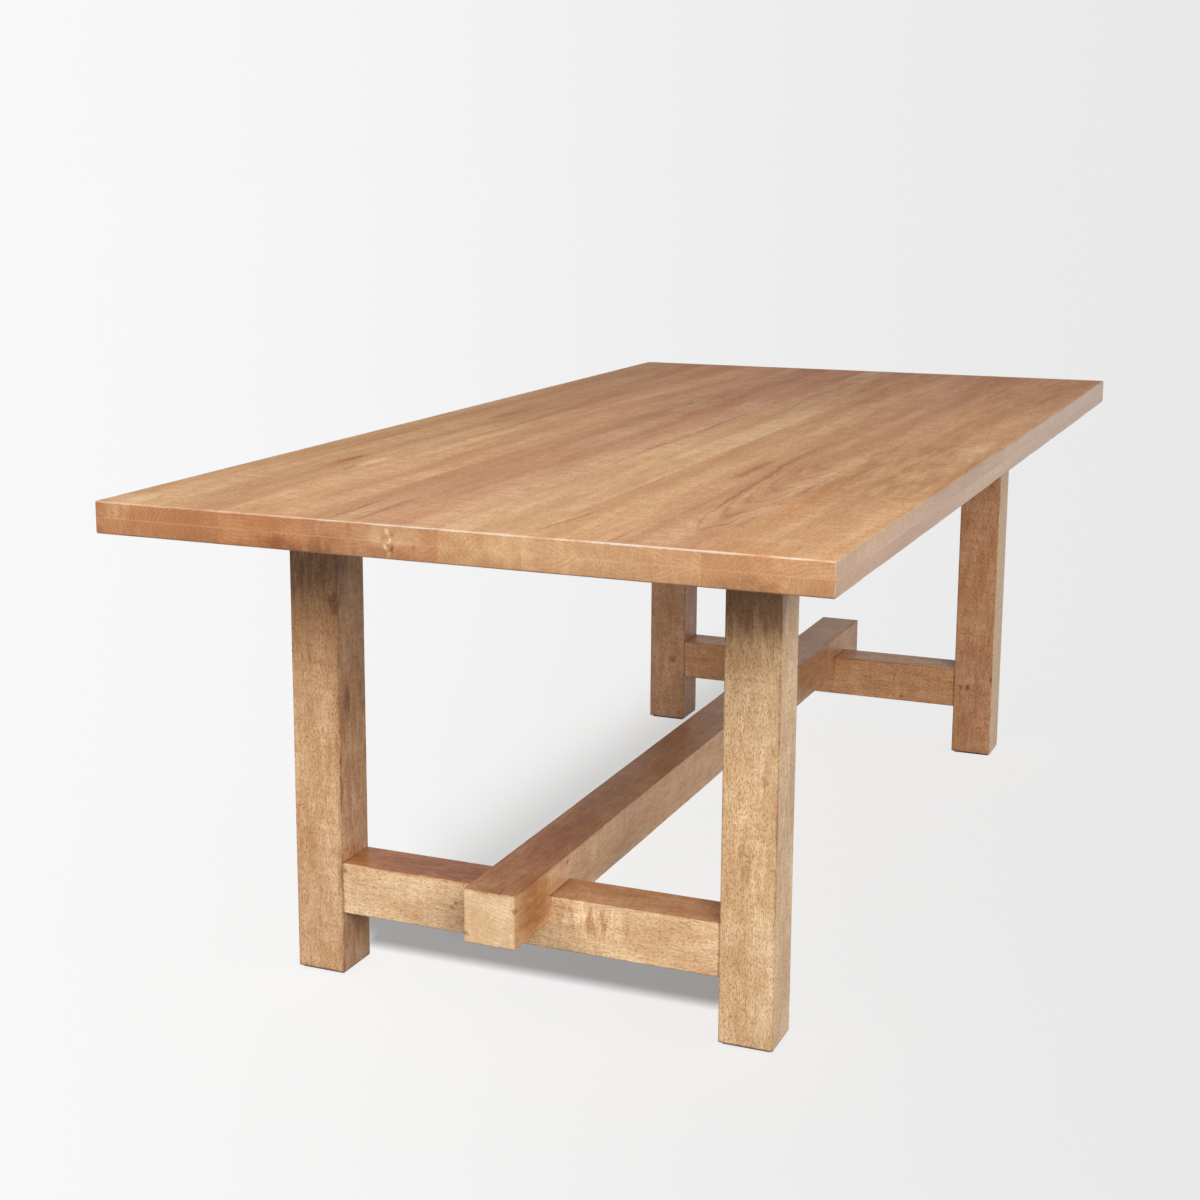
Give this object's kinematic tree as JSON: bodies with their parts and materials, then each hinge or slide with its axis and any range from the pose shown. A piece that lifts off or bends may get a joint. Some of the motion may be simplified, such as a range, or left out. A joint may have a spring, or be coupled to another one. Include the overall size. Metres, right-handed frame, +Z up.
{
  "type": "trestle dining table",
  "caption": "Rectangular wooden trestle dining table: edge-glued board top with a doubled rim on square-legged trestles with low crossbars, tied together by a housed stretcher.",
  "frame": {"origin": "on the floor under the middle of the table top", "axes": "+X along the length of the table, +Y across it to the rear, +Z up"},
  "size_m": [2.15, 1.05, 0.762],
  "materials": {
    "top_wood": "satin clear finish",
    "frame_wood": "satin clear finish",
    "inner_wood": "sanded, thin finish",
    "pad_rubber": "matt black",
    "fastener_steel": "zinc plated",
    "insert_brass": "turned brass"
  },
  "bodies": {
    "root": {"batten_screws": "fastener_steel", "bearer_left": "inner_wood", "bearer_right": "inner_wood", "centre_batten": "inner_wood", "crossbar_left": "frame_wood", "crossbar_right": "frame_wood", "edge_strip_front": "top_wood", "edge_strip_rear": "top_wood", "end_block_left_1": "top_wood", "end_block_left_2": "top_wood", "end_block_left_3": "top_wood", "end_block_left_4": "top_wood", "end_block_left_5": "top_wood", "end_block_left_6": "top_wood", "end_block_left_7": "top_wood", "end_block_right_1": "top_wood", "end_block_right_2": "top_wood", "end_block_right_3": "top_wood", "end_block_right_4": "top_wood", "end_block_right_5": "top_wood", "end_block_right_6": "top_wood", "end_block_right_7": "top_wood", "foot_pad_left_front": "pad_rubber", "foot_pad_left_rear": "pad_rubber", "foot_pad_right_front": "pad_rubber", "foot_pad_right_rear": "pad_rubber", "leg_left_front": "frame_wood", "leg_left_rear": "frame_wood", "leg_right_front": "frame_wood", "leg_right_rear": "frame_wood", "pad_screws": "fastener_steel", "plank_1": "top_wood", "plank_2": "top_wood", "plank_3": "top_wood", "plank_4": "top_wood", "plank_5": "top_wood", "plank_6": "top_wood", "plank_7": "top_wood", "plank_8": "top_wood", "spline_1": "inner_wood", "spline_2": "inner_wood", "spline_3": "inner_wood", "spline_4": "inner_wood", "spline_5": "inner_wood", "spline_6": "inner_wood", "spline_7": "inner_wood", "stretcher": "frame_wood", "stretcher_bolts": "fastener_steel", "stretcher_inserts": "insert_brass", "stretcher_washers": "fastener_steel", "top_bolts": "fastener_steel", "top_inserts": "insert_brass", "top_washers": "fastener_steel"}
  },
  "joints": []
}
